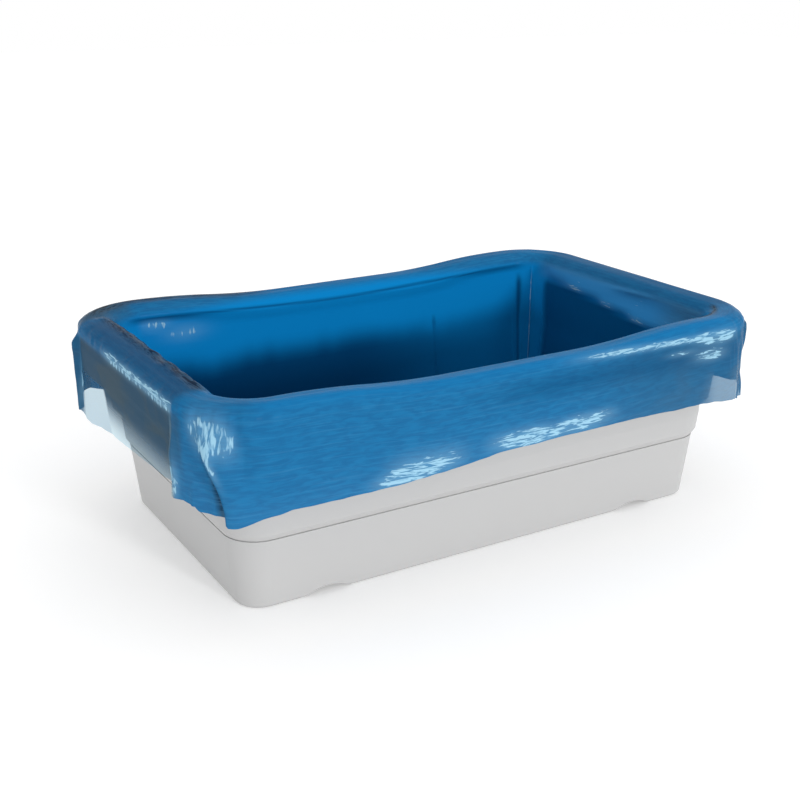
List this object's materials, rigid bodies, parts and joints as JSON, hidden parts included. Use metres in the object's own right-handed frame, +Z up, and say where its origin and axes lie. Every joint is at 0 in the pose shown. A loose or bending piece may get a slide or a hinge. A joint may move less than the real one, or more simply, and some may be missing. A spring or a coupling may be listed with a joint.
{
  "type": "cat litter tray with film liner",
  "caption": "Open stepped plastic litter tray with a broad dipped rim and a blue film liner bag folded over it.",
  "frame": {"origin": "centre of the underside, on the surface that the tray stands on", "axes": "+X along the tray's long side, +Y across it, +Z up out of its open top"},
  "size_m": [0.5996, 0.3786, 0.1996],
  "materials": {
    "tray": "injection-moulded polypropylene, satin, light grey",
    "liner_film": "glossy translucent blue polyethylene film"
  },
  "bodies": {
    "tray": {"tray": "tray"},
    "liner": {"liner_bag": "liner_film"}
  },
  "joints": [
    {"name": "liner_lift", "type": "slide", "parent": "tray", "child": "liner", "axis": [0, 0, 1], "range_m": [0, 0.25]}
  ]
}
